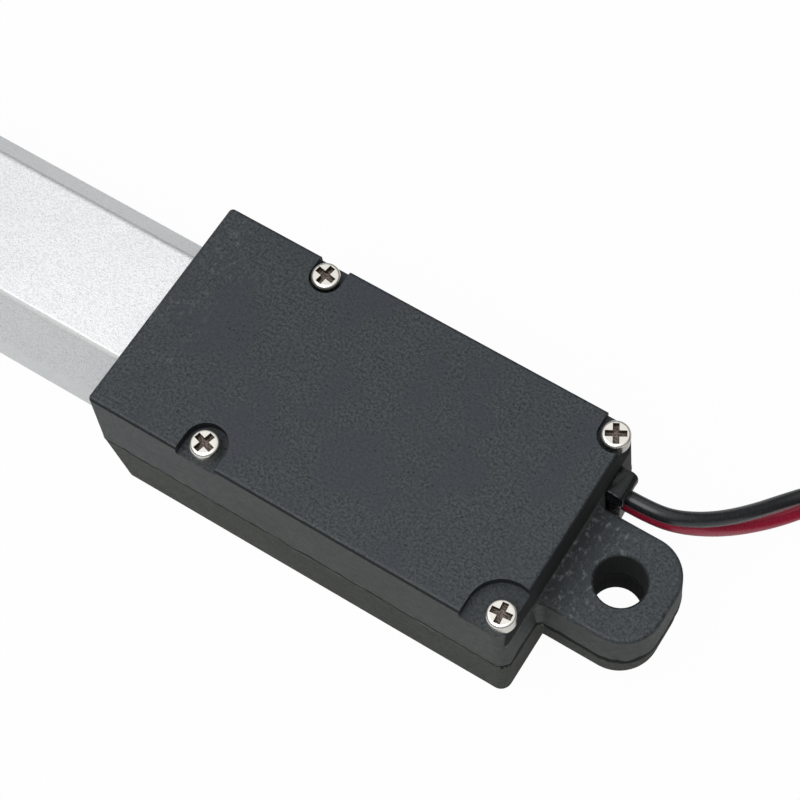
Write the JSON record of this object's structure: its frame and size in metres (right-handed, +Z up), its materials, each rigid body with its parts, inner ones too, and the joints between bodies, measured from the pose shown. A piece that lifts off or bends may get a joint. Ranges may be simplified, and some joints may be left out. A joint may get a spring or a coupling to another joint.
{
  "type": "micro linear actuator",
  "caption": "Micro linear actuator: moulded gear housing with a pivot lug, aluminium tube, and a push rod driven by a geared motor and lead screw.",
  "frame": {"origin": "axis of the rear pivot bore, in the plane where the housing's two shells part", "axes": "+X along the push rod towards its end, +Y the side away from the leads' exit, +Z up, out of the upper shell along the pivot bore"},
  "size_m": [0.1297, 0.0401, 0.0165],
  "materials": {
    "housing_black": "fine-grained moulded plastic",
    "screw_nickel": "bright nickel plate",
    "tube_aluminium": "satin clear anodised extrusion",
    "cap_black": "moulded plastic",
    "bush_brass": "turned",
    "seal_rubber": "soft rubber",
    "grommet_rubber": "glossy rubber",
    "motor_steel": "zinc plated sheet",
    "shaft_steel": "ground",
    "board_green": "solder mask",
    "lead_black": "vinyl insulation",
    "lead_red": "vinyl insulation",
    "gear_brass": "cut teeth",
    "rod_steel": "ground stainless tube",
    "rod_end_aluminium": "satin",
    "plunger_white": "moulded plastic",
    "lead_tinned": "solder-dipped strands"
  },
  "bodies": {
    "housing": {"upper_housing": "housing_black", "lower_housing": "housing_black", "housing_screws": "screw_nickel", "outer_tube": "tube_aluminium", "front_cap": "cap_black", "front_cap_screws": "screw_nickel", "rod_bush": "bush_brass", "rod_seal": "seal_rubber", "lead_grommet": "grommet_rubber", "motor_can": "motor_steel", "motor_end_cap": "cap_black", "motor_terminals": "bush_brass", "gearbox_rear_plate": "motor_steel", "gearbox_front_plate": "motor_steel", "gearbox_pillars": "bush_brass", "gear_pin": "shaft_steel", "bearing_outer_ring": "shaft_steel", "bearing_balls": "shaft_steel", "limit_switch_board": "board_green", "retract_switch": "cap_black", "extend_switch": "cap_black", "black_inner_lead": "lead_black", "red_inner_lead": "lead_red", "black_lead": "lead_black", "red_lead": "lead_red", "black_lead_coil": "lead_black", "red_lead_coil": "lead_red", "black_lead_tip": "lead_tinned", "red_lead_tip": "lead_tinned"},
    "screw": {"lead_screw": "shaft_steel", "output_gear": "gear_brass", "bearing_inner_ring": "shaft_steel", "screw_clip": "shaft_steel"},
    "rod": {"push_rod": "rod_steel", "drive_nut": "bush_brass", "nut_carrier": "cap_black", "rod_end": "rod_end_aluminium", "rod_end_pin": "shaft_steel"},
    "motor_rotor": {"motor_shaft": "shaft_steel", "motor_pinion": "gear_brass"},
    "first_gear_pair": {"first_gear": "gear_brass"},
    "second_gear_pair": {"second_gear": "gear_brass"},
    "third_gear_pair": {"third_gear": "gear_brass"},
    "retract_button": {"retract_plunger": "plunger_white"},
    "extend_button": {"extend_plunger": "plunger_white"}
  },
  "joints": [
    {"name": "rod_slide", "type": "slide", "parent": "housing", "child": "rod", "axis": [1, 0, 0], "range_m": [0, 0.03]},
    {"name": "screw_spin", "type": "hinge", "parent": "housing", "child": "screw", "pos_m": [0.036, -0.0005, 0], "axis": [-1, 0, 0], "range_deg": [0, 5400.1]},
    {"name": "third_gear_spin", "type": "hinge", "parent": "housing", "child": "third_gear_pair", "pos_m": [0.03, 0.0027, 0], "axis": [-1, 0, 0], "range_deg": [-11880.1, 0]},
    {"name": "second_gear_spin", "type": "hinge", "parent": "housing", "child": "second_gear_pair", "pos_m": [0.029, -0.0005, 0], "axis": [-1, 0, 0], "range_deg": [0, 26136.1]},
    {"name": "first_gear_spin", "type": "hinge", "parent": "housing", "child": "first_gear_pair", "pos_m": [0.027, 0.0027, 0], "axis": [-1, 0, 0], "range_deg": [-57499.5, 0]},
    {"name": "motor_spin", "type": "hinge", "parent": "housing", "child": "motor_rotor", "pos_m": [0.024, -0.0005, 0], "axis": [-1, 0, 0], "range_deg": [0, 126499]},
    {"name": "retract_press", "type": "slide", "parent": "housing", "child": "retract_button", "axis": [-1, 0, 0], "range_m": [0, 0.00025], "stiffness_N_per_m": 200},
    {"name": "extend_press", "type": "slide", "parent": "housing", "child": "extend_button", "axis": [1, 0, 0], "range_m": [0, 0.00025], "stiffness_N_per_m": 200}
  ],
  "couplings": [
    {"joint": "screw_spin", "follows": "rod_slide", "rad_per_m": 3141.6},
    {"joint": "third_gear_spin", "follows": "rod_slide", "rad_per_m": -6911.5},
    {"joint": "second_gear_spin", "follows": "rod_slide", "rad_per_m": 15205},
    {"joint": "first_gear_spin", "follows": "rod_slide", "rad_per_m": -33452},
    {"joint": "motor_spin", "follows": "rod_slide", "rad_per_m": 73594}
  ]
}
